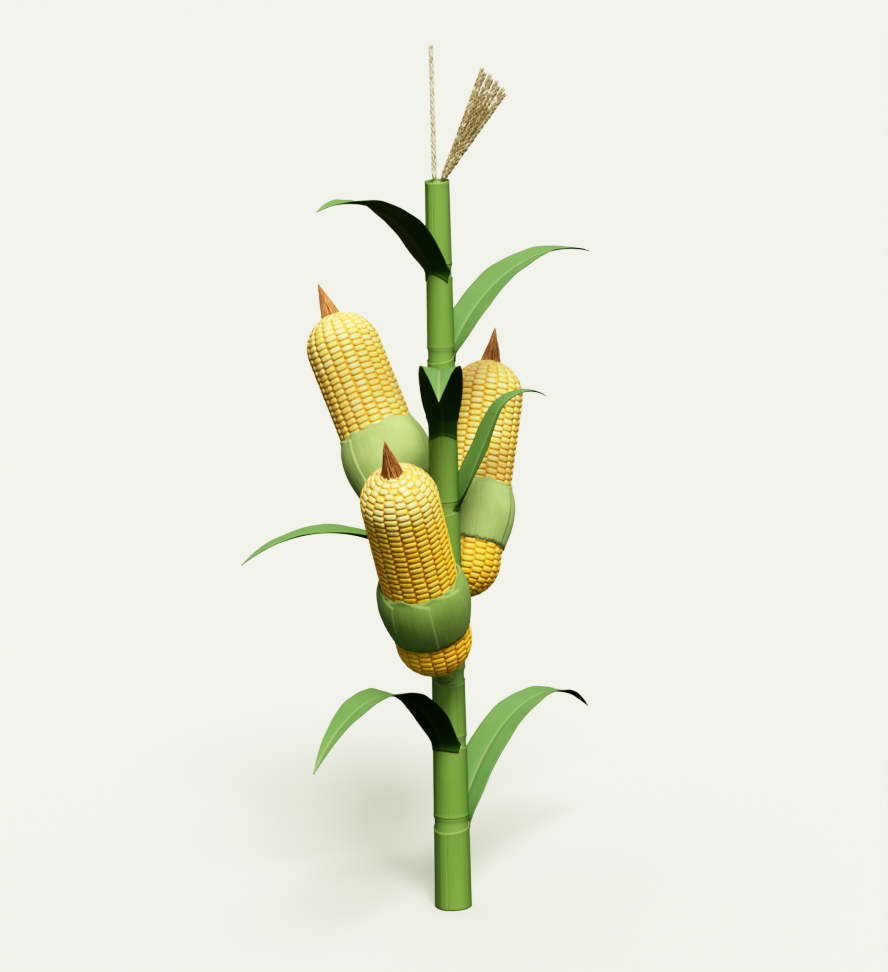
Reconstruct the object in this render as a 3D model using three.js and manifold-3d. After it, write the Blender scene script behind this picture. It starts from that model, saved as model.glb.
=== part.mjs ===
// A fruiting maize plant, rooted at the origin: stalk, eight leaves, three ears and a tassel.
// Millimetres and degrees, +Z up. Headings are turned from +X towards +Y.

import * as THREE from "three";
import { mergeVertices } from "three/addons/utils/BufferGeometryUtils.js";
import Module from "manifold-3d";

const wasm = await Module();
wasm.setup();

// Driving dimensions ------------------------------------------------------

const GAP = 0.3;

const STALK_HEIGHT = 1224;
const STALK_FOOT_RADIUS = 29.8;
const STALK_TOP_RADIUS = 18.6;
const STALK_SIDES = 24;
const SHEATH_THICKNESS = 1.4;
const NODE_SWELLING = 1.6;
const NODE_ABOVE_COLLAR = 14;
const NODE_HALF_HEIGHT = 7;
const COLLAR_SEARCH_STEPS = 400;

const LEAF_WIDTH = 72;
const LEAF_WIDEST_AT = 0.4;
const LEAF_BASE_SHARE = 0.66;
const LEAF_TIP_POWER = 0.87;
const LEAF_FOLD = 11;
const LEAF_STEPS = 18;
const LEAF_STRIPS = 4;
const LEAF_TIP_HALF_WIDTH = 1.2;
const LEAF_THICKNESS_SHARE = 0.0105;

// Each leaf's midrib is an arc: the height where it starts on the stalk's axis, its heading,
// its rise there, its angle at the tip and its length, of which the first part may be straight.
const LEAVES = [
  { start: 91, heading: 65, rise: 67, tip: -37, length: 600, straight: 0 },
  { start: 229, heading: 249, rise: 69, tip: -39, length: 582, straight: 0 },
  { start: 363, heading: 110, rise: 58, tip: -46, length: 420, straight: 0 },
  { start: 494, heading: 199, rise: 76, tip: -38, length: 430, straight: 0 },
  { start: 630, heading: 25, rise: 65, tip: -35, length: 328, straight: 222 },
  { start: 781, heading: 274, rise: 71, tip: -28, length: 426, straight: 0 },
  { start: 900, heading: 52.5, rise: 63.5, tip: -16, length: 453, straight: 0 },
  { start: 1036, heading: 242, rise: 65, tip: -12, length: 413, straight: 0 },
];

const COB_RADIUS = 63.3;
const COB_STRAIGHT = 289.5;
const COB_SIDES = 24;
const COB_CAP_STEPS = 5;

const HUSK_BOTTOM = 31;
const HUSK_TOP = 129;
const HUSK_RIM_THICKNESS = 2.8;
const HUSK_BULGE = 9.8;
const HUSK_BULGE_SKEW = 1.25;
const HUSK_SIDES = 42;
const HUSK_STEPS = 6;
const HUSK_LEAVES = 7;
const HUSK_TIP_HEIGHT = 7;
const HUSK_TEAR_HEIGHT = 3;

const SILK_RADIUS = 19;
const SILK_HEIGHT = 61;
const SILK_SIDES = 12;

const SHANK_STALK_RADIUS = 15;
const SHANK_EAR_RADIUS = 12;
const SHANK_SIDES = 12;
const SHANK_DROP_SHARE = 1.15;

// Each ear: height and reach of the middle of its rounded foot, its heading from the stalk,
// its lean from upright, and the heading that it leans to.
const EARS = [
  { name: "ear_left", height: 678, reach: 92, heading: 139, lean: 32, leans_to: 135 },
  { name: "ear_right", height: 567, reach: 127, heading: 81, lean: 26, leans_to: 74 },
  { name: "ear_front", height: 485, reach: 94, heading: 261, lean: 29, leans_to: 255 },
];

const SPIKE_LENGTH = 218;
const SPIKE_FOOT_RADIUS = 5;
const SPIKE_TIP_RADIUS = 3.8;
const SPIKE_OFFSET = -4;
const SPIKE_LEAN = 0.3;
const SPIKE_SIDES = 10;

const BRANCH_COUNT = 8;
const BRANCH_LENGTH = 192;
const BRANCH_SHORTENING = 2;
const BRANCH_FOOT_RADIUS = 3.6;
const BRANCH_TIP_RADIUS = 2.6;
const BRANCH_FIRST_LEAN = 21.5;
const BRANCH_LEAN_STEP = 2.3;
const BRANCH_SPREAD = 12;
const BRANCH_OFFSET = 5.6;
const BRANCH_SIDES = 6;
const HUB_RADIUS = 5.4;

// Helpers -----------------------------------------------------------------

const radians = THREE.MathUtils.degToRad;
const lerp = THREE.MathUtils.lerp;

function direction(heading, elevation) {
  const level = Math.cos(radians(elevation));
  return new THREE.Vector3(
    level * Math.cos(radians(heading)),
    level * Math.sin(radians(heading)),
    Math.sin(radians(elevation)),
  );
}

function bare(geometry) {
  const copy = geometry.clone();
  copy.deleteAttribute("normal");
  copy.deleteAttribute("uv");
  return mergeVertices(copy);
}

function solid(geometry) {
  const merged = bare(geometry);
  return new wasm.Manifold(
    new wasm.Mesh({
      numProp: 3,
      vertProperties: new Float32Array(merged.attributes.position.array),
      triVerts: new Uint32Array(merged.index.array),
    }),
  );
}

function geometryOf(body) {
  const mesh = body.getMesh();
  const geometry = new THREE.BufferGeometry();
  geometry.setAttribute("position", new THREE.BufferAttribute(mesh.vertProperties, 3));
  geometry.setIndex(new THREE.BufferAttribute(mesh.triVerts, 1));
  geometry.computeVertexNormals();
  return geometry;
}

function largestPiece(body) {
  const pieces = body.decompose();
  pieces.sort((a, b) => b.volume() - a.volume());
  return pieces[0];
}

// A lathe turns its profile about +Y, so it is stood up along +Z here.
function turned(profile, sides) {
  const points = profile.map(([radius, height]) => new THREE.Vector2(radius, height));
  return new THREE.LatheGeometry(points, sides).rotateX(Math.PI / 2);
}

function tapered(footRadius, tipRadius, length, sides) {
  const rod = new THREE.CylinderGeometry(tipRadius, footRadius, length, sides);
  return rod.rotateX(Math.PI / 2).translate(0, 0, length / 2);
}

// Moves a shape that stands on the origin along +Z to a foot point and an axis.
function stand(geometry, foot, axis) {
  const turn = new THREE.Quaternion().setFromUnitVectors(new THREE.Vector3(0, 0, 1), axis);
  const place = new THREE.Matrix4().compose(foot, turn, new THREE.Vector3(1, 1, 1));
  return geometry.applyMatrix4(place);
}

const FINISHES = {
  stalk: new THREE.MeshStandardMaterial({ color: 0x6fa03c, roughness: 0.6, metalness: 0 }),
  leaf: new THREE.MeshStandardMaterial({ color: 0x5c9a3c, roughness: 0.62, metalness: 0 }),
  kernels: new THREE.MeshStandardMaterial({ color: 0xe0b445, roughness: 0.45, metalness: 0 }),
  husk: new THREE.MeshStandardMaterial({ color: 0x8fb566, roughness: 0.68, metalness: 0 }),
  silk: new THREE.MeshStandardMaterial({ color: 0x9a5a32, roughness: 0.8, metalness: 0 }),
  shank: new THREE.MeshStandardMaterial({ color: 0x9cbb6a, roughness: 0.65, metalness: 0 }),
  tassel: new THREE.MeshStandardMaterial({ color: 0xb79a63, roughness: 0.75, metalness: 0 }),
};

const group = new THREE.Group();
group.name = "maize_plant";

function add(name, geometry, finish) {
  const mesh = new THREE.Mesh(geometry, FINISHES[finish]);
  mesh.name = name;
  group.add(mesh);
}

// Stalk -------------------------------------------------------------------
// A straight taper from the flat cut to the tip. Each sheath ends in a small step at its
// collar, where its leaf's midrib leaves the stalk, and a ring swells at the node above it.

function taperRadius(height) {
  return lerp(STALK_FOOT_RADIUS, STALK_TOP_RADIUS, height / STALK_HEIGHT);
}

function leafAngle(leaf, share) {
  const bent = Math.max(share * leaf.length - leaf.straight, 0);
  return lerp(leaf.rise, leaf.tip, bent / (leaf.length - leaf.straight));
}

function arcPoint(leaf, share) {
  const start = radians(leaf.rise);
  const angle = radians(leafAngle(leaf, share));
  const run = Math.min(share * leaf.length, leaf.straight);
  const radius = (leaf.length - leaf.straight) / radians(leaf.tip - leaf.rise);
  const reach = run * Math.cos(start) + radius * (Math.sin(angle) - Math.sin(start));
  const rise = run * Math.sin(start) - radius * (Math.cos(angle) - Math.cos(start));
  return direction(leaf.heading, 0).multiplyScalar(reach).setZ(leaf.start + rise);
}

function collarHeight(leaf) {
  let share = 0;
  let point = arcPoint(leaf, share);
  while (Math.hypot(point.x, point.y) < taperRadius(point.z)) {
    share += 1 / COLLAR_SEARCH_STEPS;
    point = arcPoint(leaf, share);
  }
  return point.z;
}

function stalkProfile(clearance) {
  const top = STALK_HEIGHT + clearance;
  const profile = [[0, 0], [taperRadius(0) + SHEATH_THICKNESS + clearance, 0]];
  for (const leaf of LEAVES) {
    const collar = collarHeight(leaf);
    const node = collar + NODE_ABOVE_COLLAR;
    const at = (height, extra) => [taperRadius(height) + extra + clearance, height];
    profile.push(at(collar, SHEATH_THICKNESS));
    profile.push(at(collar + 1.5, 0));
    profile.push(at(node - NODE_HALF_HEIGHT, 0));
    profile.push(at(node, NODE_SWELLING + SHEATH_THICKNESS));
    profile.push(at(node + NODE_HALF_HEIGHT, SHEATH_THICKNESS));
  }
  profile.push([taperRadius(STALK_HEIGHT) + clearance, top]);
  profile.push([0, top]);
  return profile;
}

add("stalk", turned(stalkProfile(0), STALK_SIDES), "stalk");
const stalkCutter = solid(turned(stalkProfile(GAP), STALK_SIDES));

// Leaves ------------------------------------------------------------------
// A blade is a box bent along an arc that starts on the stalk's axis: its angle turns evenly
// from the end of the straight part to the tip, its halves fold up from the midrib, and its
// outline swells from the collar and tapers to the tip.

function leafHalfWidth(share) {
  const half = LEAF_WIDTH / 2;
  if (share < LEAF_WIDEST_AT) {
    const swell = Math.sin((Math.PI / 2) * (share / LEAF_WIDEST_AT));
    return half * lerp(LEAF_BASE_SHARE, 1, swell);
  }
  const past = (share - LEAF_WIDEST_AT) / (1 - LEAF_WIDEST_AT);
  const narrowed = half * Math.cos((Math.PI / 2) * past) ** LEAF_TIP_POWER;
  return Math.max(narrowed, LEAF_TIP_HALF_WIDTH);
}

function blade(leaf) {
  const thickness = leaf.length * LEAF_THICKNESS_SHARE;
  const box = new THREE.BoxGeometry(2, 1, 1, LEAF_STRIPS, LEAF_STEPS, 1);
  const side = direction(leaf.heading + 90, 0);
  const fold = radians(LEAF_FOLD);
  const point = new THREE.Vector3();
  const places = box.attributes.position;
  for (let i = 0; i < places.count; i += 1) {
    point.fromBufferAttribute(places, i);
    const share = point.y + 0.5;
    const across = -point.x * leafHalfWidth(share);
    const upper = direction(leaf.heading, leafAngle(leaf, share) + 90);
    const raised = Math.abs(across) * Math.sin(fold) + point.z * thickness;
    const bent = arcPoint(leaf, share);
    bent.addScaledVector(side, across * Math.cos(fold));
    bent.addScaledVector(upper, raised);
    places.setXYZ(i, bent.x, bent.y, bent.z);
  }
  return box;
}

LEAVES.forEach((leaf, index) => {
  const cut = solid(blade(leaf)).subtract(stalkCutter);
  add(`leaf_${index + 1}`, geometryOf(largestPiece(cut)), "leaf");
});

// Ears --------------------------------------------------------------------
// An ear is a round-ended cob in a collar of husk leaves, with a tuft of silk on its tip and
// a short shank to the stalk. Each is made upright over the middle of the cob's round foot.

function cobProfile(clearance) {
  const radius = COB_RADIUS + clearance;
  const profile = [];
  for (let i = 0; i <= COB_CAP_STEPS; i += 1) {
    const angle = ((i / COB_CAP_STEPS) * Math.PI) / 2;
    profile.push([radius * Math.sin(angle), -radius * Math.cos(angle)]);
  }
  for (let i = 0; i <= COB_CAP_STEPS; i += 1) {
    const angle = ((i / COB_CAP_STEPS) * Math.PI) / 2;
    profile.push([radius * Math.cos(angle), COB_STRAIGHT + radius * Math.sin(angle)]);
  }
  profile[0][0] = 0;
  profile.at(-1)[0] = 0;
  return profile;
}

function huskThickness(share) {
  const swell = Math.sin(Math.PI * share ** HUSK_BULGE_SKEW) ** 0.7;
  return HUSK_RIM_THICKNESS + HUSK_BULGE * swell;
}

function huskProfile() {
  const inner = COB_RADIUS + GAP;
  const profile = [];
  for (let i = 0; i <= HUSK_STEPS; i += 1) {
    const share = i / HUSK_STEPS;
    profile.push([inner + huskThickness(share), lerp(HUSK_BOTTOM, HUSK_TOP, share)]);
  }
  profile.push([inner, HUSK_TOP]);
  profile.push([inner, HUSK_BOTTOM]);
  profile.push(profile[0].slice());
  return profile;
}

// The upper rim rises to a point for each husk leaf, and the lower rim is torn into teeth.
function husk() {
  const ring = turned(huskProfile(), HUSK_SIDES);
  const places = ring.attributes.position;
  for (let i = 0; i < places.count; i += 1) {
    const around = Math.atan2(places.getY(i), places.getX(i)) / (2 * Math.PI) + 1;
    const share = (places.getZ(i) - HUSK_BOTTOM) / (HUSK_TOP - HUSK_BOTTOM);
    const leafWave = Math.abs(((around * HUSK_LEAVES + 0.25) % 1) - 0.5) * 2;
    const tearWave = Math.abs(((around * HUSK_SIDES) / 2) % 1 - 0.5) * 2;
    const lift = HUSK_TIP_HEIGHT * leafWave * share ** 3;
    const tear = HUSK_TEAR_HEIGHT * tearWave * (1 - share) ** 3;
    places.setZ(i, places.getZ(i) + lift - tear);
  }
  return ring;
}

function silk() {
  const foot = COB_STRAIGHT + COB_RADIUS * Math.cos(Math.asin(SILK_RADIUS / COB_RADIUS)) - 2;
  const tip = COB_STRAIGHT + COB_RADIUS + SILK_HEIGHT;
  const profile = [
    [0, foot],
    [SILK_RADIUS, foot],
    [SILK_RADIUS * 0.62, lerp(foot, tip, 0.4)],
    [SILK_RADIUS * 0.22, lerp(foot, tip, 0.82)],
    [0, tip],
  ];
  return turned(profile, SILK_SIDES);
}

for (const ear of EARS) {
  const foot = direction(ear.heading, 0).multiplyScalar(ear.reach).setZ(ear.height);
  const axis = direction(ear.leans_to, 90 - ear.lean);
  const cobCutter = solid(stand(turned(cobProfile(GAP), COB_SIDES), foot, axis));

  const cob = stand(turned(cobProfile(0), COB_SIDES), foot, axis);
  add(`${ear.name}_cob`, cob, "kernels");
  add(`${ear.name}_husk`, stand(husk(), foot, axis), "husk");

  const tuft = solid(stand(silk(), foot, axis)).subtract(cobCutter);
  add(`${ear.name}_silk`, geometryOf(largestPiece(tuft)), "silk");

  const root = new THREE.Vector3(0, 0, ear.height - ear.reach * SHANK_DROP_SHARE);
  const along = foot.clone().sub(root);
  const stub = tapered(SHANK_STALK_RADIUS, SHANK_EAR_RADIUS, along.length(), SHANK_SIDES);
  const placed = solid(stand(stub, root, along.normalize()));
  const shank = placed.subtract(stalkCutter).subtract(cobCutter);
  add(`${ear.name}_shank`, geometryOf(largestPiece(shank)), "shank");
}

// Tassel ------------------------------------------------------------------
// A central spike and a one-sided fan of branches, which stand on the stalk's flat tip.

const tasselFoot = STALK_HEIGHT + GAP;
const spikeAxis = direction(180, 90 - SPIKE_LEAN);
const spikeRod = tapered(SPIKE_FOOT_RADIUS, SPIKE_TIP_RADIUS, SPIKE_LENGTH, SPIKE_SIDES);
const spikeRise = SPIKE_FOOT_RADIUS * Math.sin(radians(SPIKE_LEAN));
const spikePlace = new THREE.Vector3(SPIKE_OFFSET, 0, tasselFoot + spikeRise);
add("tassel_spike", stand(spikeRod, spikePlace, spikeAxis), "tassel");

const hubPlace = new THREE.Vector3(BRANCH_OFFSET, 0, tasselFoot);
let fan = solid(tapered(HUB_RADIUS, HUB_RADIUS * 0.8, HUB_RADIUS * 2, SPIKE_SIDES).translate(
  hubPlace.x + HUB_RADIUS - BRANCH_FOOT_RADIUS,
  0,
  hubPlace.z,
));
for (let i = 0; i < BRANCH_COUNT; i += 1) {
  const lean = BRANCH_FIRST_LEAN + BRANCH_LEAN_STEP * i;
  const heading = BRANCH_SPREAD * (i % 2 === 0 ? 1 : -1);
  const length = BRANCH_LENGTH - BRANCH_SHORTENING * i;
  const rod = tapered(BRANCH_FOOT_RADIUS, BRANCH_TIP_RADIUS, length, BRANCH_SIDES);
  const lift = BRANCH_FOOT_RADIUS * Math.sin(radians(lean));
  const place = hubPlace.clone().setZ(tasselFoot + lift);
  fan = fan.add(solid(stand(rod, place, direction(heading, 90 - lean))));
}
add("tassel_branches", geometryOf(fan), "tassel");

export default group;
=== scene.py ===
# A fruiting maize plant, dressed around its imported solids. Metres, +Z up, headings from +X.
import random
from math import copysign, cos, exp, hypot, pi, radians, sin, sqrt

import bmesh
import bpy
import numpy as np
from mathutils import Matrix, Quaternion, Vector


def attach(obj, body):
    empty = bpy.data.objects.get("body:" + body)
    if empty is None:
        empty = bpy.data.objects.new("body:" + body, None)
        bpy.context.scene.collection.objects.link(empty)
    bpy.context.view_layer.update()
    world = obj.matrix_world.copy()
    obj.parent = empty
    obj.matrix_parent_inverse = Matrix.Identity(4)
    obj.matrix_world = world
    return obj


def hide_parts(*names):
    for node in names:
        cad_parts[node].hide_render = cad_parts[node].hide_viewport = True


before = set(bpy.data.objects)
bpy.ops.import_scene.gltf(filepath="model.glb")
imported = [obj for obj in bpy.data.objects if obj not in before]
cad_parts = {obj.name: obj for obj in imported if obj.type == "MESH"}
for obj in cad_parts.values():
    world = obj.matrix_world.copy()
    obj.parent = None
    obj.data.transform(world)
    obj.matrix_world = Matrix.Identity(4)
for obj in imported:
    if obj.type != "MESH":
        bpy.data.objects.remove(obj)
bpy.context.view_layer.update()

# Sizes of the plant --------------------
# The rules that place the solids, written again in metres.

MM = 0.001

STALK_HEIGHT = 1.224
STALK_FOOT_RADIUS = 0.0298
STALK_TOP_RADIUS = 0.0186
SHEATH_THICKNESS = 1.4 * MM
NODE_ABOVE_COLLAR = 14 * MM
NODE_HALF_HEIGHT = 7 * MM

LEAF_WIDTH = 0.072
LEAF_WIDEST_AT = 0.4
LEAF_BASE_SHARE = 0.66
LEAF_TIP_POWER = 0.87
LEAF_TIP_HALF_WIDTH = 1.2 * MM
LEAF_FOLD = radians(11)

# Each leaf's midrib is an arc: the height where it starts on the stalk's axis, its heading,
# its rise there, its angle at the tip and its length, and how much of that is straight first.
LEAVES = [
    {"start": 0.091, "heading": 65, "rise": 67, "tip": -37, "length": 0.600},
    {"start": 0.229, "heading": 249, "rise": 69, "tip": -39, "length": 0.582},
    {"start": 0.363, "heading": 110, "rise": 58, "tip": -46, "length": 0.420},
    {"start": 0.494, "heading": 199, "rise": 76, "tip": -38, "length": 0.430},
    {"start": 0.630, "heading": 25, "rise": 65, "tip": -35, "length": 0.328, "straight": 0.222},
    {"start": 0.781, "heading": 274, "rise": 71, "tip": -28, "length": 0.426},
    {"start": 0.900, "heading": 52.5, "rise": 63.5, "tip": -16, "length": 0.453},
    {"start": 1.036, "heading": 242, "rise": 65, "tip": -12, "length": 0.413},
]

COB_RADIUS = 63.3 * MM
COB_STRAIGHT = 289.5 * MM

HUSK_BOTTOM = 31 * MM
HUSK_TOP = 129 * MM
HUSK_RIM = 2.8 * MM
HUSK_BULGE = 9.8 * MM
HUSK_BULGE_SKEW = 1.25
HUSK_BULGE_FULLNESS = 0.7
HUSK_LEAVES = 7
HUSK_TIP_HEIGHT = 7 * MM
HUSK_INNER_RADIUS = 63.6 * MM

SILK_RADIUS = 19 * MM
SILK_HEIGHT = 61 * MM

SHANK_STALK_RADIUS = 15 * MM
SHANK_EAR_RADIUS = 12 * MM
SHANK_DROP_SHARE = 1.15

# Each ear: the height and reach of the middle of its rounded foot, its heading from the stalk,
# its lean from upright and the heading that it leans to. Ripeness and shade is how deep the
# kernels' yellow grows below the tip, from 0 to 3: partly ripening, partly painted shade where
# the body faces down under its lit tip, deepest on the front ear.
EARS = [
    {"name": "ear_left", "height": 0.678, "reach": 0.092, "heading": 139,
     "lean": 32, "leans_to": 135, "ripeness_and_shade": 0.9},
    {"name": "ear_right", "height": 0.567, "reach": 0.127, "heading": 81,
     "lean": 26, "leans_to": 74, "ripeness_and_shade": 0.9},
    {"name": "ear_front", "height": 0.485, "reach": 0.094, "heading": 261,
     "lean": 29, "leans_to": 255, "ripeness_and_shade": 2.3},
]

SPIKE_LENGTH = 0.218
SPIKE_OFFSET = -4 * MM
SPIKE_LEAN = 0.3
BRANCH_COUNT = 8
BRANCH_LENGTH = 0.192
BRANCH_SHORTENING = 2 * MM
BRANCH_FIRST_LEAN = 21.5
BRANCH_LEAN_STEP = 2.3
BRANCH_SPREAD = 12
BRANCH_OFFSET = 5.6 * MM

# Sizes of the finer shapes -------------
# Marks are strengths from 0 to 1. What starts FROM a value grows until the piece's end.

CANE_SIDES = 96
CANE_ROWS = 300
RING_SWELLING = 0.65 * MM
RING_MARK = 0.3
PEDUNCLE_RADIUS = 10 * MM
DOME_ROWS = 12
DOME_SHOULDER_ROWS = 4
DOME_SETBACK = 1 * MM
DOME_CLEARANCE = 1 * MM

SHEATH_COLUMNS = 88
SHEATH_ROWS = 40
SHEATH_CROWDING = 1.15
SHEATH_WALL = 1.1 * MM
SHEATH_LAP = radians(13)
SHEATH_LAP_GAP = 0.15 * MM
SHEATH_LAP_RISE = (0.8, 0.89)
SHEATH_START = 0.3 * MM
SHEATH_FOOT_SWELLING = 0.55 * MM
SHEATH_RIM_RISE = 1 * MM
SHEATH_RIM_DROP = 11 * MM
SHEATH_FLARE = 0.55 * MM
SHEATH_FLARE_FROM = 0.93
SHEATH_FLARE_ACROSS = (0.2, 0.7)
SHEATH_EDGE_FROM = 0.965
SHEATH_EDGE_MARK = 0.22
TOP_SHEATH_HEADING = 61
TOP_RIM_DROP = 3 * MM
TOP_MOUTH_DEPTH = 14 * MM

LIGULE_COLUMNS = 30
LIGULE_ROWS = 5
LIGULE_HEIGHT = 7 * MM
LIGULE_WALL = 0.5 * MM
LIGULE_REACH = radians(80)
LIGULE_SUNK = 3 * MM
LIGULE_GAP = 0.15 * MM
LIGULE_LEAN = 0.5 * MM
LIGULE_TEAR = 0.16
LIGULE_TEAR_WAVES = (23, 51)

BLADE_COLUMNS = 26
BLADE_ROWS = 130
BLADE_CROWDING = 1.45
BLADE_THICKNESS = 1.1 * MM
BLADE_GAP = 2.1 * MM
BLADE_GAP_BLEND = 3 * MM
BLADE_TWIST = 4
BLADE_TWIST_FROM = 0.35
CLASP_REACH = 55 * MM
MIDRIB_WIDTH = 4.5 * MM
MIDRIB_DEPTH = 2.2 * MM
MIDRIB_FADE = 0.25
AURICLE_WIDTH = 3 * MM
AURICLE_LENGTH = 13 * MM
AURICLE_AT = 5 * MM
AURICLE_FLARE = 0.35
RIPPLE_HEIGHT = 0.9 * MM
RIPPLE_LENGTH = 118 * MM
RIPPLE_FADES = (1 / 6, 1 / 5)
SHORT_RIPPLE_HEIGHT = 0.35
SHORT_RIPPLE_LENGTH = 0.47
BASE_MARK = 0.6
BASE_MARK_LENGTH = 8 * MM

# How far each blade runs on below its collar, in millimetres: at its midrib, and what its
# margins add to that.
BLADE_LAPS = [(8, 5), (8, 5), (8, 5), (8, 5), (6, -8), (24, 10), (8, 5), (0, 18)]

KERNEL_ROWS = 18
KERNEL_PITCH = 10.6 * MM
KERNEL_HEIGHT = 9 * MM
KERNEL_ROUNDING = 4.7
KERNEL_ROOT_WIDTH = 0.8
KERNEL_UNDERSIDE = -0.8
KERNEL_STAGGER = 0.25
KERNEL_LEAST_SIZE = 0.97
KERNEL_MOST_SUNK = 0.5 * MM
KERNEL_MOST_TURN = 0.012
CAP_ROWS_END = 0.62
CAP_KERNEL_WIDTH = 0.72
TIP_KERNELS = 3
CORE_DEPTH = 3.4 * MM
CORE_SIDES = 40

# The kernels' tone, from 0 to 3, picks their yellow. It deepens over a length below the tip, partly
# as ripening and partly as painted shade under the lit tip, and deepens again towards the butt as
# painted shade where the ear's lower end faces down.
RIPE_AND_SHADE_LENGTH = 130 * MM
BUTT_FROM = 250 * MM
BUTT_SHADE_TONE = 1.4
TONE_SPREAD = 0.55

HUSK_COLUMNS = 24
HUSK_ROWS = 20
HUSK_LAYERS = 2
HUSK_WALL = 0.9 * MM
HUSK_SPREAD = 1.6
HUSK_FIRST_TURN = 0.25
HUSK_TUCK = 1.4 * MM
HUSK_LAYER_DEPTH = 2 * MM
HUSK_LAYER_DROP = 3 * MM
HUSK_LAYER_RISE = 1.5 * MM
HUSK_SHOULDER_DROP = 6 * MM
HUSK_PEAK_RISE = 1.5 * MM
HUSK_PEAK_SHARPNESS = 1.25
HUSK_PEAK_SPREAD = 1.5 * MM
HUSK_PEAK_SHIFT = 0.2
HUSK_TEETH = 2 * MM
HUSK_TEARS = 3.4 * MM
HUSK_FLUTES = 9
HUSK_FLUTE_DEPTH = 0.3 * MM
HUSK_SIDE_MARK = 0.25
HUSK_SIDE_FROM = 0.9
HUSK_END_MARK = 0.3
HUSK_END_FROM = 0.92
GREENER_HUSK_ABOVE = 2

SILK_STRANDS = 230
STRAND_RADIUS = 1 * MM
STRAND_TIP = 0.25
STRAND_STEPS = 9
STRAND_SIZES = (0.8, 1.2)
SILK_SHARES = (5, 3, 2)
SILK_FILL = 0.97
SILK_SUNK = 4 * MM
SILK_LEAST_REACH = 0.5
SILK_RAGGEDNESS = 1.15
SILK_SWAY = 0.65
SILK_WAVE = 0.8 * MM
SILK_WAVE_TURN = 7

# The tuft narrows quickly and ends in a point: shares of its height, and its width there.
SILK_OUTLINE = [(0, 0.4, 0.82, 1), (1, 0.62, 0.22, 0.02)]

SHANK_SIDES = 40
SHANK_STEPS = 40
SHANK_IN_STALK = 4 * MM
SHANK_IN_EAR = 6 * MM
SHANK_RING_PITCH = 9 * MM
SHANK_RING_HALF_WIDTH = 1.8 * MM
SHANK_RING_SWELLING = 0.9 * MM
SHANK_RING_MARK = 0.4

SPIKELET_SIDES = 6
SPIKELET_LENGTH = 9.5 * MM
SPIKELET_RADIUS = 2.15 * MM
SPIKELET_FLATNESS = 0.72
SPIKELET_WIDEST_LOW = 0.8
SPIKELET_FULLNESS = 0.9
SPIKELET_PITCH = 4.6 * MM
SPIKELET_SET_IN = 0.8
SPIKELET_OPENING = 12
SPIKELET_OPENINGS = (0.5, 1.2)
SPIKELET_SIZES = (0.85, 1.08)
SPIKELET_MOST_TURN = 0.2

# The shares say how many spikelets take each of the tassel's three straws; the fan's larger shares
# of the darker straws are partly painted shade between its branches.
TASSEL_SUNK = 6 * MM
TASSEL_STEM_SIDES = 10
TASSEL_STEM_TIP = 0.6
SPIKE = {"stem_radius": 3.2 * MM, "bare": 7 * MM, "rows": 4, "shares": (2, 0, 9)}
BRANCH = {"stem_radius": 2.1 * MM, "bare": 8 * MM, "rows": 3, "shares": (5, 5, 1)}

BLADE_SEED = 100
KERNEL_SEED = 200
HUSK_SEED = 300
SILK_SEED = 400
TASSEL_SEED = 71

# Helpers -------------------------------


def lerp(a, b, share):
    return a + (b - a) * share


def smooth(share):
    share = min(max(share, 0.0), 1.0)
    return share * share * (3 - 2 * share)


def grown(value, start, end):
    """How far a value has come from a start to an end, eased at both."""
    return smooth((value - start) / (end - start))


def bump_at(value, centre, half_width):
    """A rounded bump of height one, which is nothing beyond its half width."""
    return smooth(1 - abs(value - centre) / half_width)


def soft_larger(a, b, blend):
    """The larger of two lengths, rounded over where they are within a blend of each other."""
    near = max(blend - abs(a - b), 0) / blend
    return max(a, b) + near * near * blend / 4


def level(heading):
    """The level unit vector of a heading, in radians."""
    return Vector((cos(heading), sin(heading), 0))


def around_axis(heading, reach, height):
    """The point at a heading in radians, a reach from the Z axis and a height."""
    return level(heading) * reach + Vector((0, 0, height))


def aimed(heading, lean):
    """A unit vector that leans from upright towards a heading, in degrees."""
    tilt = radians(lean)
    return around_axis(radians(heading), sin(tilt), cos(tilt))


def standing(foot, axis):
    """The matrix that stands a shape made along +Z on a foot point, along an axis."""
    turn = Vector((0, 0, 1)).rotation_difference(axis)
    return Matrix.Translation(foot) @ turn.to_matrix().to_4x4()


def new_object(name, data):
    made = bpy.data.objects.new(name, data)
    bpy.context.scene.collection.objects.link(made)
    return made


def shown(mesh, name, materials):
    """An object of a finished mesh, shaded smooth."""
    for material in materials:
        mesh.materials.append(material)
    mesh.polygons.foreach_set("use_smooth", [True] * len(mesh.polygons))
    return new_object(name, mesh)


def object_from(bm, name, materials, place=None):
    """Ends a bmesh as an object whose place is in its mesh."""
    if place is not None:
        bmesh.ops.transform(bm, matrix=place, verts=bm.verts)
    mesh = bpy.data.meshes.new(name)
    bm.to_mesh(mesh)
    bm.free()
    return shown(mesh, name, materials)


def thicken(piece, thickness, underside=0):
    """Gives a sheet its thickness behind its face; the back takes a later material slot."""
    wall = piece.modifiers.new("wall", "SOLIDIFY")
    wall.thickness = thickness
    wall.offset = -1
    wall.use_even_offset = False
    wall.material_offset = underside
    wall.material_offset_rim = underside


def walled(bm, name, finish, wall, place=None):
    """Ends a bmesh of sheets as an object whose faces point outwards, with its wall."""
    bmesh.ops.recalc_face_normals(bm, faces=bm.faces)
    piece = object_from(bm, name, [finish], place)
    thicken(piece, wall)
    return piece


def new_bmesh():
    """An empty bmesh that is ready for a leaf's map and for marks of tone."""
    bm = bmesh.new()
    bm.loops.layers.uv.new("leaf")
    bm.verts.layers.float.new("tone")
    return bm


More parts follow.
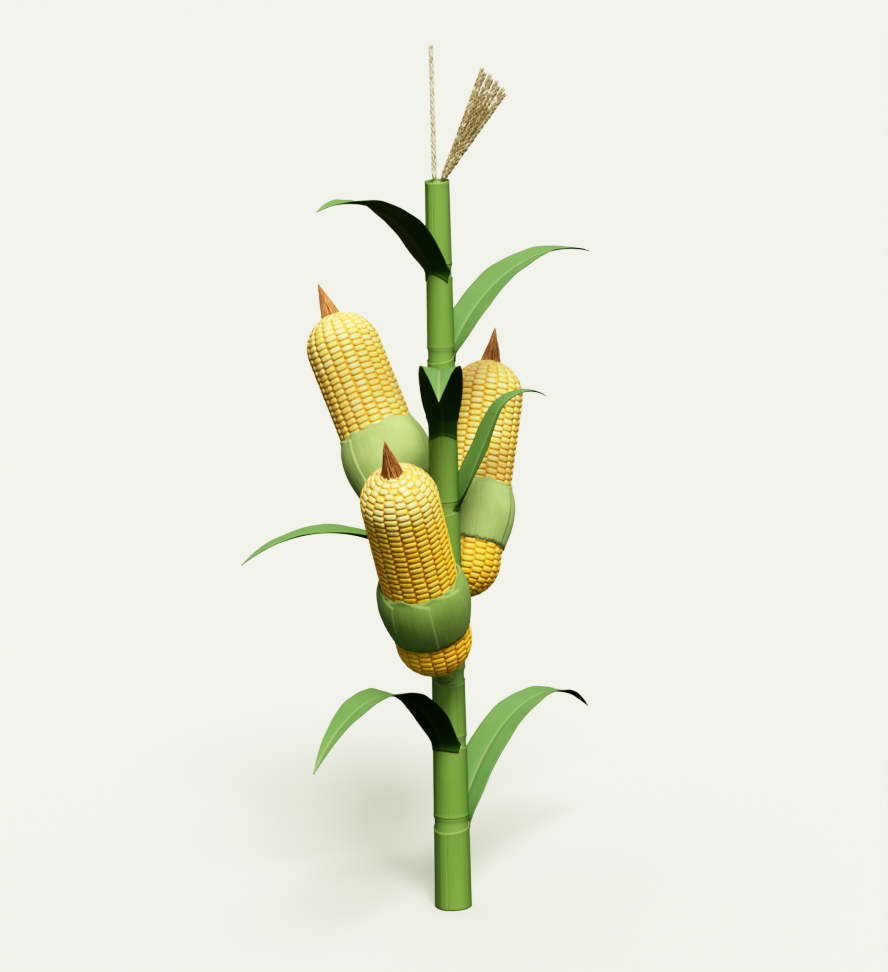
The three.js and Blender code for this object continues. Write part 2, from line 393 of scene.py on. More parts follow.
def bend_sheet(bm, columns, rows, place):
    """Adds a sheet to a bmesh and bends it.

    place turns (across, along), from -1 to 1 and from 0 to 1, into a point, its map and its
    tone. The map "leaf" holds metres across and along, and the attribute "tone" marks the
    places where the finish changes.
    """
    made = bmesh.ops.create_grid(bm, x_segments=columns, y_segments=rows, size=1)
    leaf_map = bm.loops.layers.uv["leaf"]
    tone = bm.verts.layers.float["tone"]
    for vert in made["verts"]:
        point, metres, mark = place(vert.co.x, (vert.co.y + 1) / 2)
        vert.co = point
        vert[tone] = mark
        for loop in vert.link_loops:
            loop[leaf_map].uv = metres


def new_rod(sides, tip_radius):
    """A bmesh of a tapering rod along +Z, from 0 to 1, of radius one at its foot."""
    bm = bmesh.new()
    bmesh.ops.create_cone(
        bm, cap_ends=True, segments=sides, radius1=1, radius2=tip_radius, depth=1,
        matrix=Matrix.Translation((0, 0, 0.5)),
    )
    return bm


def arrays_of(bm):
    """A small shape's vertices and faces, to be repeated many times."""
    bm.verts.index_update()
    verts = np.array([v.co[:] for v in bm.verts])
    faces = [tuple(v.index for v in f.verts) for f in bm.faces]
    bm.free()
    return verts, faces


def joined(name, parts, materials):
    """One object of many small closed shapes; each is (vertices, faces, material slot)."""
    verts, faces, slots = [], [], []
    base = 0
    for part_verts, part_faces, part_slot in parts:
        verts.append(part_verts)
        faces.extend([tuple(base + i for i in face) for face in part_faces])
        slots.extend([part_slot] * len(part_faces))
        base += len(part_verts)
    mesh = bpy.data.meshes.new(name)
    mesh.from_pydata(np.concatenate(verts).tolist(), [], faces)
    mesh.polygons.foreach_set("material_index", slots)
    return shown(mesh, name, materials)


def placed(verts, origin, x_axis, y_axis, z_axis):
    """A small shape's vertices, moved to an origin and three scaled axes."""
    axes = np.array([x_axis[:], y_axis[:], z_axis[:]])
    return np.array(origin[:]) + verts @ axes


def carried(verts, place):
    """A small shape's vertices, moved by a matrix."""
    turn = np.array(place.to_3x3())
    return verts @ turn.T + np.array(place.translation)


def settle(piece, slot, *nodes):
    """Rides a piece on the plant's body, in place of CAD nodes; its slot is not used."""
    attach(piece, "root")
    if nodes:
        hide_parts(*nodes)


# Shader groups -------------------------


def feed(tree, socket, value):
    """Links a socket into another, or sets the other's constant; a tuple is a colour."""
    if isinstance(value, bpy.types.NodeSocket):
        tree.links.new(value, socket)
    else:
        socket.default_value = (*value, 1) if isinstance(value, tuple) else value


def add_node(tree, kind, inputs=None, **settings):
    """A new shader node, its inputs and its settings."""
    made = tree.nodes.new("ShaderNode" + kind)
    for name, value in settings.items():
        setattr(made, name, value)
    for key, value in (inputs or {}).items():
        feed(tree, made.inputs[key], value)
    return made


def math_node(tree, operation, *values):
    return add_node(tree, "Math", dict(enumerate(values)), operation=operation).outputs[0]


def mix_colour(tree, share, first, second):
    inputs = {0: share, 6: first, 7: second}
    return add_node(tree, "Mix", inputs, data_type="RGBA").outputs[2]


def map_range(tree, value, start, end, low=0.0, high=1.0, ease="LINEAR"):
    """Maps what lies between a start and an end to between a low and a high."""
    ends = {"From Min": start, "From Max": end, "To Min": low, "To Max": high}
    made = add_node(tree, "MapRange", {"Value": value, **ends}, interpolation_type=ease)
    return made.outputs[0]


def noise(tree, place, scale, detail):
    inputs = {"Vector": place, "Scale": scale, "Detail": detail}
    return add_node(tree, "TexNoise", inputs).outputs[0]


def use_group(tree, group, inputs=None):
    return add_node(tree, "Group", inputs, node_tree=group).outputs


def new_group(name, inputs, outputs):
    """A shader group with named sockets: inputs with their defaults, and outputs' names."""
    group = bpy.data.node_groups.new(name, "ShaderNodeTree")
    colour, number = "NodeSocketColor", "NodeSocketFloat"
    for label, default in inputs.items():
        kind = colour if isinstance(default, tuple) else number
        socket = group.interface.new_socket(label, in_out="INPUT", socket_type=kind)
        feed(group, socket, default)
    for label in outputs:
        kind = colour if label == "Color" else number
        group.interface.new_socket(label, in_out="OUTPUT", socket_type=kind)
    given = group.nodes.new("NodeGroupInput").outputs
    out = group.nodes.new("NodeGroupOutput").inputs
    return group, given, out


def make_mottle():
    """Soft blotches between two colours, and a fine grain."""
    green, pale = (0.2, 0.4, 0.1), (0.3, 0.5, 0.1)
    inputs = {"Scale": 12.0, "Amount": 1.0, "First": green, "Second": pale}
    group, given, out = new_group("mottle", inputs, ["Color", "Grain"])
    place = add_node(group, "TexCoord").outputs["Object"]
    broad = noise(group, place, given["Scale"], detail=3.0)
    blotch = map_range(group, broad, start=0.3, end=0.7)
    share = math_node(group, "MULTIPLY", blotch, given["Amount"])
    feed(group, out["Color"], mix_colour(group, share, given["First"], given["Second"]))
    feed(group, out["Grain"], noise(group, place, scale=600.0, detail=2.0))
    return group


def make_veins():
    """Parallel veins and a midrib from a leaf's own map, which holds metres across and along."""
    vein_sharpness = 3.0
    streaks_across, streaks_along = 600.0, 12.0
    inputs = {"Spacing": 0.0024, "Rib Width": 0.004}
    group, given, out = new_group("veins", inputs, ["Vein", "Rib", "Height", "Streak"])
    leaf_map = add_node(group, "UVMap", uv_map="leaf").outputs[0]
    split = add_node(group, "SeparateXYZ", {"Vector": leaf_map}).outputs
    turns = math_node(group, "DIVIDE", split["X"], given["Spacing"])
    wave = math_node(group, "COSINE", math_node(group, "MULTIPLY", turns, 2 * pi))
    crest = math_node(group, "MULTIPLY_ADD", wave, 0.5, 0.5)
    vein = math_node(group, "POWER", crest, vein_sharpness)
    from_middle = math_node(group, "ABSOLUTE", split["X"])
    rib = map_range(group, from_middle, given["Rib Width"], 0.0, ease="SMOOTHSTEP")
    across = math_node(group, "MULTIPLY", split["X"], streaks_across)
    along = math_node(group, "MULTIPLY", split["Y"], streaks_along)
    stretched = add_node(group, "CombineXYZ", {"X": across, "Y": along}).outputs[0]
    streak = noise(group, stretched, scale=1.0, detail=3.0)
    feed(group, out["Vein"], vein)
    feed(group, out["Rib"], rib)
    feed(group, out["Height"], math_node(group, "MULTIPLY_ADD", streak, 0.5, vein))
    feed(group, out["Streak"], streak)
    return group


def make_fibres():
    """Fine lengthwise fibres on an upright stem."""
    inputs = {"Scale": 500.0, "Stretch": 0.03}
    group, given, out = new_group("fibres", inputs, ["Fibre"])
    place = add_node(group, "TexCoord").outputs["Object"]
    shape = add_node(group, "CombineXYZ", {"X": 1.0, "Y": 1.0, "Z": given["Stretch"]}).outputs[0]
    stretched = add_node(group, "VectorMath", {0: place, 1: shape}, operation="MULTIPLY").outputs[0]
    feed(group, out["Fibre"], noise(group, stretched, given["Scale"], detail=3.0))
    return group


mottle = make_mottle()
veins = make_veins()
fibres = make_fibres()

# Materials -----------------------------

# Painted shade on stems and kernels: the colour they deepen to where they turn away from the
# viewer, how far, and how late they do so.
STEM_PAINTED_SHADE = {"painted_shade_colour": (0.06, 0.15, 0.015), "share": 0.9}
KERNEL_PAINTED_SHADE = {"painted_shade_colour": (0.88, 0.455, 0.018), "share": 0.95}
PAINTED_SHADE_POWER = 1.3


def principled(name, specular):
    """A new material, its node tree and its shader's inputs."""
    material = bpy.data.materials.new(name)
    material.use_nodes = True
    tree = material.node_tree
    inputs = tree.nodes["Principled BSDF"].inputs
    inputs["Specular IOR Level"].default_value = specular
    return material, tree, inputs


def set_finish(tree, inputs, colour, grain, roughness):
    """Feeds a colour, and a roughness that a grain varies between two ends."""
    feed(tree, inputs["Base Color"], colour)
    feed(tree, inputs["Roughness"], map_range(tree, grain, 0.0, 1.0, *roughness))


def set_bump(tree, inputs, height, strength, distance):
    settings = {"Height": height, "Strength": strength, "Distance": distance}
    feed(tree, inputs["Normal"], add_node(tree, "Bump", settings).outputs[0])


def tone_mark(tree):
    return add_node(tree, "Attribute", attribute_name="tone").outputs["Fac"]


def mottled(tree, scale, first, second, amount=1.0):
    inputs = {"Scale": scale, "First": first, "Second": second, "Amount": amount}
    return use_group(tree, mottle, inputs)


def tinted(tree, ground, mask, share, colour):
    """A ground colour that takes a share of another where a mask shows."""
    return mix_colour(tree, math_node(tree, "MULTIPLY", mask, share), ground, colour)


def painted_shade(tree, colour, painted_shade_colour, share):
    """Painted shade: a colour that deepens towards another where the surface turns away from the
    viewer.
    """
    facing = add_node(tree, "LayerWeight", {"Blend": 0.5}).outputs["Facing"]
    turned_away = math_node(tree, "POWER", facing, PAINTED_SHADE_POWER)
    return tinted(tree, colour, turned_away, share, painted_shade_colour)


def blade_material(name, first, second, rib_colour, rib_share, collar_colour, specular):
    """A leaf blade: mottled green, fine veins, a paler midrib and a pale collar."""
    material, tree, inputs = principled(name, specular)
    vein = use_group(tree, veins)
    ground = mottled(tree, 9.0, first, second)["Color"]
    veined = tinted(tree, ground, vein["Vein"], 0.16, rib_colour)
    ribbed = tinted(tree, veined, vein["Rib"], rib_share, rib_colour)
    marked = mix_colour(tree, tone_mark(tree), ribbed, collar_colour)
    set_finish(tree, inputs, marked, vein["Streak"], roughness=(0.42, 0.62))
    set_bump(tree, inputs, vein["Height"], strength=0.35, distance=0.0006)
    return material


def stem_material(name, first, second, mark_colour, scale=7.0):
    """A stem: mottled green with lengthwise fibres, another colour where it is marked, and painted
    shade where it turns away.
    """
    material, tree, inputs = principled(name, specular=0.35)
    fibre = use_group(tree, fibres)["Fibre"]
    ground = mottled(tree, scale, first, second)["Color"]
    lined = tinted(tree, ground, fibre, 0.22, mark_colour)
    marked = mix_colour(tree, tone_mark(tree), lined, mark_colour)
    # painted shade towards the stem's turned-away sides
    deep = painted_shade(tree, marked, **STEM_PAINTED_SHADE)
    set_finish(tree, inputs, deep, fibre, roughness=(0.45, 0.7))
    set_bump(tree, inputs, fibre, strength=0.5, distance=0.0007)
    return material


def sheath_material(name, first, second, streak_colour, pale):
    """Sheaths: close lengthwise veins, streaks of deeper green, a pale rim, and painted shade where
    they turn away.
    """
    material, tree, inputs = principled(name, specular=0.35)
    vein = use_group(tree, veins, {"Spacing": 0.0031, "Rib Width": 0.0004})
    ground = mottled(tree, 7.0, first, second)["Color"]
    streak = map_range(tree, vein["Streak"], start=0.35, end=0.7)
    streaked = tinted(tree, ground, streak, 0.3, streak_colour)
    veined = tinted(tree, streaked, vein["Vein"], 0.14, pale)
    marked = mix_colour(tree, tone_mark(tree), veined, pale)
    # painted shade towards the sheath's turned-away sides
    deep = painted_shade(tree, marked, **STEM_PAINTED_SHADE)
    set_finish(tree, inputs, deep, vein["Streak"], roughness=(0.42, 0.66))
    set_bump(tree, inputs, vein["Height"], strength=0.4, distance=0.0005)
    return material


def husk_material(name, first, second, vein_colour):
    """Husk leaves: matt green, with close raised veins."""
    material, tree, inputs = principled(name, specular=0.25)
    vein = use_group(tree, veins, {"Spacing": 0.0030, "Rib Width": 0.0005})
    ground = mottled(tree, 22.0, first, second)["Color"]
    veined = tinted(tree, ground, vein["Vein"], 0.22, vein_colour)
    marked = mix_colour(tree, tone_mark(tree), veined, vein_colour)
    set_finish(tree, inputs, marked, vein["Streak"], roughness=(0.6, 0.85))
    set_bump(tree, inputs, vein["Height"], strength=0.45, distance=0.0007)
    return material


def grainy_material(name, first, second, roughness=0.6, specular=0.3, scale=150.0, bump=0.0003):
    """Small things in one colour each: the cob's core, silk, spikelets and ligules."""
    material, tree, inputs = principled(name, specular)
    ground = mottled(tree, scale, first, second)
    ends = (roughness - 0.06, roughness + 0.1)
    set_finish(tree, inputs, ground["Color"], ground["Grain"], ends)
    set_bump(tree, inputs, ground["Grain"], strength=0.25, distance=bump)
    return material


def straw_material(name, first, second):
    return grainy_material(name, first, second, roughness=0.7, specular=0.2, bump=0.0004)


def kernel_material(name, first, second):
    """Kernels: smooth and waxy, with painted shade of a deeper yellow where their sides turn away.
    """
    material, tree, inputs = principled(name, specular=0.38)
    ground = mottled(tree, 60.0, first, second)
    # painted shade towards the kernels' turned-away sides
    deep = painted_shade(tree, ground["Color"], **KERNEL_PAINTED_SHADE)
    set_finish(tree, inputs, deep, ground["Grain"], roughness=(0.32, 0.48))
    set_bump(tree, inputs, ground["Grain"], strength=0.25, distance=0.0003)
    return material


blade_top = blade_material(
    "blade_top", (0.112, 0.234, 0.058), (0.136, 0.267, 0.071), specular=0.3,
    rib_colour=(0.28, 0.39, 0.165), rib_share=0.55, collar_colour=(0.33, 0.44, 0.155),
)
# The underside's near-black green is painted shade, darker than a real blade's paler underside; its
# low specular keeps it dark.
blade_underside_painted_shade = blade_material(
    "blade_underside_painted_shade", (0.018, 0.068, 0.007), (0.028, 0.095, 0.011), specular=0.05,
    rib_colour=(0.06, 0.14, 0.025), rib_share=0.6, collar_colour=(0.12, 0.22, 0.04),
)
cane_green = stem_material(
    "cane_green", (0.205, 0.357, 0.075), (0.24, 0.40, 0.093), (0.33, 0.42, 0.15)
)
sheath_green = sheath_material(
    "sheath_green", (0.20, 0.352, 0.067), (0.236, 0.394, 0.086),
    streak_colour=(0.135, 0.27, 0.04), pale=(0.33, 0.43, 0.155),
)
shank_green = stem_material(
    "shank_green", (0.23, 0.38, 0.093), (0.30, 0.43, 0.13), (0.385, 0.43, 0.175), scale=30.0
)
ligule_pale = grainy_material("ligule_pale", (0.46, 0.50, 0.26), (0.55, 0.56, 0.32), scale=90.0)
husk_pale = husk_material(
    "husk_pale", (0.33, 0.46, 0.14), (0.43, 0.57, 0.205), (0.55, 0.59, 0.31)
)
husk_green = husk_material(
    "husk_green", (0.20, 0.32, 0.074), (0.265, 0.40, 0.105), (0.365, 0.44, 0.17)
)
kernel_yellows = [
    kernel_material("kernel_pale", (0.93, 0.77, 0.29), (0.94, 0.80, 0.34)),
    kernel_material("kernel_light", (0.92, 0.71, 0.18), (0.93, 0.74, 0.22)),
    kernel_material("kernel_gold", (0.92, 0.61, 0.065), (0.925, 0.64, 0.09)),
    kernel_material("kernel_deep", (0.91, 0.525, 0.022), (0.92, 0.555, 0.032)),
]
cob_core = grainy_material(
    "cob_core", (0.80, 0.46, 0.04), (0.84, 0.50, 0.055), 0.7, 0.2, scale=90.0, bump=0.0006
)
silk_browns = [
    grainy_material("silk_brown", (0.50, 0.22, 0.065), (0.56, 0.26, 0.085)),
    grainy_material("silk_russet", (0.38, 0.145, 0.04), (0.44, 0.18, 0.055)),
    grainy_material("silk_straw", (0.62, 0.34, 0.12), (0.66, 0.38, 0.15)),
]
tassel_straws = [
    straw_material("tassel_straw", (0.48, 0.39, 0.22), (0.53, 0.435, 0.255)),
    straw_material("tassel_tan", (0.37, 0.285, 0.135), (0.42, 0.33, 0.165)),
    straw_material("tassel_pale", (0.76, 0.69, 0.49), (0.82, 0.75, 0.55)),
]

# Stalk ---------------------------------


def taper_radius(height):
    return lerp(STALK_FOOT_RADIUS, STALK_TOP_RADIUS, height / STALK_HEIGHT)


def arc_place(leaf, share):
    """The reach from the stalk's axis, height and angle of a midrib, at a share of its length."""
    start = radians(leaf["rise"])
    turn = radians(leaf["tip"] - leaf["rise"])
    straight = leaf.get("straight", 0)
    bent = leaf["length"] - straight
    run = min(share * leaf["length"], straight)
    angle = start + turn * (share * leaf["length"] - run) / bent
    radius = bent / turn
    reach = run * cos(start) + radius * (sin(angle) - sin(start))
    height = leaf["start"] + run * sin(start) - radius * (cos(angle) - cos(start))
    return reach, height, angle


def find_collar(leaf, step=1 / 400):
    """The share of its length and the height where a midrib leaves the stalk."""
    share = 0
    reach, height, _ = arc_place(leaf, share)
    while reach < taper_radius(height):
        share += step
        reach, height, _ = arc_place(leaf, share)
    return share, height


COLLARS = [find_collar(leaf) for leaf in LEAVES]
NODES = [height + NODE_ABOVE_COLLAR for _, height in COLLARS]


def node_ring(height):
    """How far the nearest node's ring has swollen at a height, from 0 to 1."""
    return max(bump_at(height, node_at, NODE_HALF_HEIGHT) for node_at in NODES)


def cane_radius(height):
    """The bare cane's radius: the taper, with a ring at each node."""
    return taper_radius(height) + (SHEATH_THICKNESS + RING_SWELLING) * node_ring(height)


def turned(profile, sides, ring, ring_mark):
    """A bmesh of a profile of (radius, height), spun round +Z into a closed shape.

    ring turns a height into how far a ring has swollen there, and the mark shows it.
    """
    bm = new_bmesh()
    verts = [bm.verts.new((radius, 0, height)) for radius, height in profile]
    edges = [bm.edges.new(pair) for pair in zip(verts, verts[1:])]
    bmesh.ops.spin(
        bm, geom=verts + edges, cent=(0, 0, 0), axis=(0, 0, 1), angle=2 * pi, steps=sides,
        use_merge=True,
    )
    bmesh.ops.remove_doubles(bm, verts=bm.verts, dist=1e-6)
    bmesh.ops.recalc_face_normals(bm, faces=bm.faces)
    tone = bm.verts.layers.float["tone"]
    for vert in bm.verts:
        vert[tone] = ring_mark * ring(vert.co.z)
    return bm


def make_cane():
    """The jointed cane, which ends in a domed stub inside the top sheath's mouth."""
    top = STALK_HEIGHT - TOP_MOUTH_DEPTH
    heights = [top * i / CANE_ROWS for i in range(CANE_ROWS + 1)]
    profile = [(0, 0)] + [(cane_radius(height), height) for height in heights]
    dome = STALK_HEIGHT - DOME_CLEARANCE - top
    shoulder = cane_radius(top) - DOME_SETBACK
    for i in range(1, DOME_ROWS):
        turn = pi / 2 * i / DOME_ROWS
        radius = lerp(shoulder, PEDUNCLE_RADIUS, smooth(i / DOME_SHOULDER_ROWS))
        profile.append((radius * sqrt(cos(turn)), top + dome * sin(turn)))
    profile.append((0, top + dome))
    bm = turned(profile, CANE_SIDES, node_ring, RING_MARK)
    settle(object_from(bm, "stalk_cane", [cane_green]), "stalk", "stalk")


def wrap_sheath(name, heading, foot, foot_swelling, rim, drop):
    """A sheath wraps the stalk between two heights and laps over itself behind its blade.

    Its mouth slopes down by a drop from the blade's side to the back.
    """
    front = radians(heading)

    def place(across, along):
        turn = across * (pi + SHEATH_LAP)
        mouth = rim - drop * (1 - cos(turn)) / 2
        height = lerp(foot, mouth, along**SHEATH_CROWDING)
        lap = (SHEATH_WALL + SHEATH_LAP_GAP) * grown(across, *SHEATH_LAP_RISE)
        swelling = foot_swelling * (1 - smooth((height - foot) / NODE_HALF_HEIGHT))
        flare = SHEATH_FLARE * grown(along, SHEATH_FLARE_FROM, 1)
        flare *= grown(abs(across), *SHEATH_FLARE_ACROSS)
        radius = taper_radius(height) + SHEATH_THICKNESS + lap + swelling + flare
        mark = SHEATH_EDGE_MARK * grown(max(abs(across), along), SHEATH_EDGE_FROM, 1)
        return around_axis(front + turn, radius, height), (turn * radius, height), mark

    bm = new_bmesh()
    bend_sheet(bm, SHEATH_COLUMNS, SHEATH_ROWS, place)
    settle(walled(bm, name, sheath_green, SHEATH_WALL), "stalk")


def make_sheaths():
    """One sheath below each blade, from the node below it, and one round the tassel's foot."""
    foot, swelling = SHEATH_START, 0
    for index, leaf in enumerate(LEAVES):
        rim = COLLARS[index][1] + SHEATH_RIM_RISE
        name = f"sheath_{index + 1}"
        wrap_sheath(name, leaf["heading"], foot, swelling, rim, SHEATH_RIM_DROP)
        foot, swelling = NODES[index], SHEATH_FOOT_SWELLING
    wrap_sheath("sheath_top", TOP_SHEATH_HEADING, foot, swelling, STALK_HEIGHT, TOP_RIM_DROP)


def make_ligules():
    """A short pale membrane stands inside each collar, against the cane."""
    bm = new_bmesh()
    first_wave, second_wave = LIGULE_TEAR_WAVES
    for index, leaf in enumerate(LEAVES):
        front = radians(leaf["heading"])
        foot = COLLARS[index][1] - LIGULE_SUNK

        def place(across, along):
            turn = across * LIGULE_REACH
            tear = sin(first_wave * across + index) * sin(second_wave * across)
            height = foot + LIGULE_HEIGHT * cos(turn) * (1 + LIGULE_TEAR * tear) * along
            radius = taper_radius(height) + LIGULE_GAP + LIGULE_LEAN * along
            return around_axis(front + turn, radius, height), (turn * radius, height), 0

        bend_sheet(bm, LIGULE_COLUMNS, LIGULE_ROWS, place)
    settle(walled(bm, "ligules", ligule_pale, LIGULE_WALL), "leaf")


# Leaf blades ---------------------------


def half_width(share):
    """A blade's half width at a share of its length."""
    half = LEAF_WIDTH / 2
    if share < LEAF_WIDEST_AT:
        swell = sin(pi / 2 * share / LEAF_WIDEST_AT)
        return half * lerp(LEAF_BASE_SHARE, 1, swell)
    past = (share - LEAF_WIDEST_AT) / (1 - LEAF_WIDEST_AT)
    narrowed = half * max(cos(pi / 2 * past), 0) ** LEAF_TIP_POWER
    return max(narrowed, LEAF_TIP_HALF_WIDTH)


def make_blade(index, leaf):
    """A blade clasps the stalk at its collar, opens to a shallow fold and arches to its tip.

    Its face is the upper side; its thickness lies below. The midrib is a groove above and a
    keel below, and the margins ripple.
    """
    chance = random.Random(BLADE_SEED + index)
    phases = [chance.uniform(0, 2 * pi) for _ in range(4)]
    twist = radians(chance.uniform(-BLADE_TWIST, BLADE_TWIST))
    heading = radians(leaf["heading"])
    side = level(heading + pi / 2)
    length = leaf["length"]
    collar = COLLARS[index][0]
    lap, margin_lap = (reach * MM for reach in BLADE_LAPS[index])
    fade_in, fade_out = RIPPLE_FADES

    def ripple(across, metres):
        """The margins' height: a long wave of their own and a shorter one."""
        waves = 2 * pi * metres / RIPPLE_LENGTH
        long_wave = sin(waves + phases[0 if across > 0 else 1])
        short_wave = sin(waves / SHORT_RIPPLE_LENGTH + phases[2])
        return RIPPLE_HEIGHT * (long_wave + SHORT_RIPPLE_HEIGHT * short_wave) * abs(across) ** 3

    def place(across, along):
        first = collar - (lap + margin_lap * across**2) / length
        share = lerp(first, 1, along)
        metres = (share - collar) * length
        reach, height, angle = arc_place(leaf, share)
        stalk = taper_radius(height)
        clasp = 1 - smooth((reach - stalk) / CLASP_REACH)
        auricle = AURICLE_WIDTH * bump_at(metres, AURICLE_AT, AURICLE_LENGTH)
        width = copysign(abs(across) ** BLADE_CROWDING, across)
        width *= half_width(share) + auricle

        radius = soft_larger(reach, stalk + BLADE_GAP, BLADE_GAP_BLEND)
        flared = radius + auricle * AURICLE_FLARE * across**4
        wrapped = around_axis(heading + width / radius, flared, height)

        upper = around_axis(heading, -sin(angle), cos(angle))
        roll = twist * grown(share, BLADE_TWIST_FROM, 1)
        lift = abs(width) * sin(LEAF_FOLD) + width * sin(roll)
        lift += ripple(across, metres) * smooth(share / fade_in) * smooth((1 - share) / fade_out)
        folded = around_axis(heading, reach, height)
        folded += side * (width * cos(LEAF_FOLD)) + upper * lift

        groove = MIDRIB_DEPTH * exp(-((width / MIDRIB_WIDTH) ** 2))
        groove *= smooth((1 - share) / MIDRIB_FADE) * (1 - clasp)
        point = folded.lerp(wrapped, clasp) - upper * (groove - BLADE_THICKNESS / 2)
        mark = BASE_MARK * smooth(1 - (share - first) * length / BASE_MARK_LENGTH)
        return point, (width, metres), mark

    bm = new_bmesh()
    bend_sheet(bm, BLADE_COLUMNS, BLADE_ROWS, place)
    bmesh.ops.reverse_faces(bm, faces=bm.faces)
    piece = object_from(bm, f"blade_{index + 1}", [blade_top, blade_underside_painted_shade])
    thicken(piece, BLADE_THICKNESS, underside=1)
    settle(piece, "leaf", f"leaf_{index + 1}")


# Ears ----------------------------------
# An ear's pieces are made upright, over the middle of the cob's round foot.


def ear_place(ear):
    """The middle of the cob's round foot, and the matrix that stands the ear on it."""
    foot = around_axis(radians(ear["heading"]), ear["reach"], ear["height"])
    return foot, standing(foot, aimed(ear["leans_to"], ear["lean"]))


def kernel_shape():
    """One kernel: a rounded block, narrower at its root, from -1 to 1 in each direction."""
    bm = bmesh.new()
    bmesh.ops.create_cube(bm, size=2)
    bmesh.ops.subdivide_edges(bm, edges=bm.edges, cuts=2, use_grid_fill=True)
    for vert in bm.verts:
        vert.co /= sum(abs(c) ** KERNEL_ROUNDING for c in vert.co) ** (1 / KERNEL_ROUNDING)
        width = lerp(KERNEL_ROOT_WIDTH, 1, (vert.co.z + 1) / 2)
        vert.co.xy *= width
    under = [f for f in bm.faces if max(f.normal.z, f.calc_center_median().z) < KERNEL_UNDERSIDE]
    bmesh.ops.dissolve_faces(bm, faces=under)
    return arrays_of(bm)


def core_shape():
    """The cob under its kernels: a round-ended rod."""
    bm = bmesh.new()
    radius = COB_RADIUS - CORE_DEPTH
    bmesh.ops.create_uvsphere(bm, u_segments=CORE_SIDES, v_segments=CORE_SIDES // 2, radius=radius)
    for vert in bm.verts:
        if vert.co.z > 1e-5:
            vert.co.z += COB_STRAIGHT
    return arrays_of(bm)


def kernel_rings():
    """Rings of kernels from butt to tip: (latitude, height of the ring's centre)."""
    cap_rings = round(pi / 2 * COB_RADIUS / KERNEL_PITCH)
    straight_rings = round(COB_STRAIGHT / KERNEL_PITCH)
    cap = [pi / 2 * (i + 0.5) / cap_rings for i in range(cap_rings)]
    rings = [(-latitude, 0) for latitude in reversed(cap)]
    rings += [(0, COB_STRAIGHT * (i + 0.5) / straight_rings) for i in range(straight_rings)]
    return rings + [(latitude, COB_STRAIGHT) for latitude in cap]


def ring_count(latitude):
    """A ring's kernels: one for each row, and fewer where the ear has rounded off."""
    narrowing = cos(latitude)
    if narrowing > CAP_ROWS_END:
        return KERNEL_ROWS
    return max(round(KERNEL_ROWS * narrowing / CAP_KERNEL_WIDTH), TIP_KERNELS)


def kernel_tone(ear, below_tip, chance):
    """Which of the yellows a kernel takes, from its place below the tip of the ear."""
    # partly ripening, partly painted shade on the body and butt below the lit tip
    tone = ear["ripeness_and_shade"] * smooth(below_tip / RIPE_AND_SHADE_LENGTH)
    tone += BUTT_SHADE_TONE * smooth((below_tip - BUTT_FROM) / RIPE_AND_SHADE_LENGTH)
    tone += chance.uniform(-TONE_SPREAD, TONE_SPREAD)
    return min(max(round(tone), 0), len(kernel_yellows) - 1)


def make_kernels(ear, seed):
    """Every kernel stands on the cob's surface, in staggered rows, its crown at full radius."""
    chance = random.Random(seed)
    verts, faces = kernel_shape()
    core_verts, core_faces = core_shape()
    _, stand = ear_place(ear)
    parts = [(carried(core_verts, stand), core_faces, len(kernel_yellows))]
    depth = KERNEL_HEIGHT / 2
    for latitude, base in kernel_rings():
        count = ring_count(latitude)
        in_rows = count == KERNEL_ROWS
        half_around = pi * COB_RADIUS * cos(latitude) / count
        for i in range(count):
            stagger = KERNEL_STAGGER * KERNEL_PITCH * (1 if i % 2 else -1) * in_rows
            turn = 2 * pi * (i + (0 if in_rows else 0.5)) / count
            turn += chance.uniform(-KERNEL_MOST_TURN, KERNEL_MOST_TURN)
            tilt, rise = latitude, base
            if latitude == 0:
                rise += stagger
            else:
                tilt += stagger / COB_RADIUS
            outward = around_axis(turn, cos(tilt), sin(tilt))
            around = level(turn + pi / 2)
            along = outward.cross(around)
            size = chance.uniform(KERNEL_LEAST_SIZE, 1)
            sunk = chance.uniform(0, KERNEL_MOST_SUNK)
            local = placed(
                verts,
                outward * (COB_RADIUS - depth - sunk) + Vector((0, 0, rise)),
                around * (half_around * size),
                along * (KERNEL_PITCH / 2 * size),
                outward * depth,
            )
            below_tip = COB_STRAIGHT + COB_RADIUS * (1 - sin(tilt)) - rise
            parts.append((carried(local, stand), faces, kernel_tone(ear, below_tip, chance)))
    piece = joined(f"{ear['name']}_kernels", parts, kernel_yellows + [cob_core])
    settle(piece, "kernels", f"{ear['name']}_cob")


def husk_thickness(share):
    share = min(max(share, 0), 1)
    swell = sin(pi * share**HUSK_BULGE_SKEW) ** HUSK_BULGE_FULLNESS
    return HUSK_RIM + HUSK_BULGE * swell


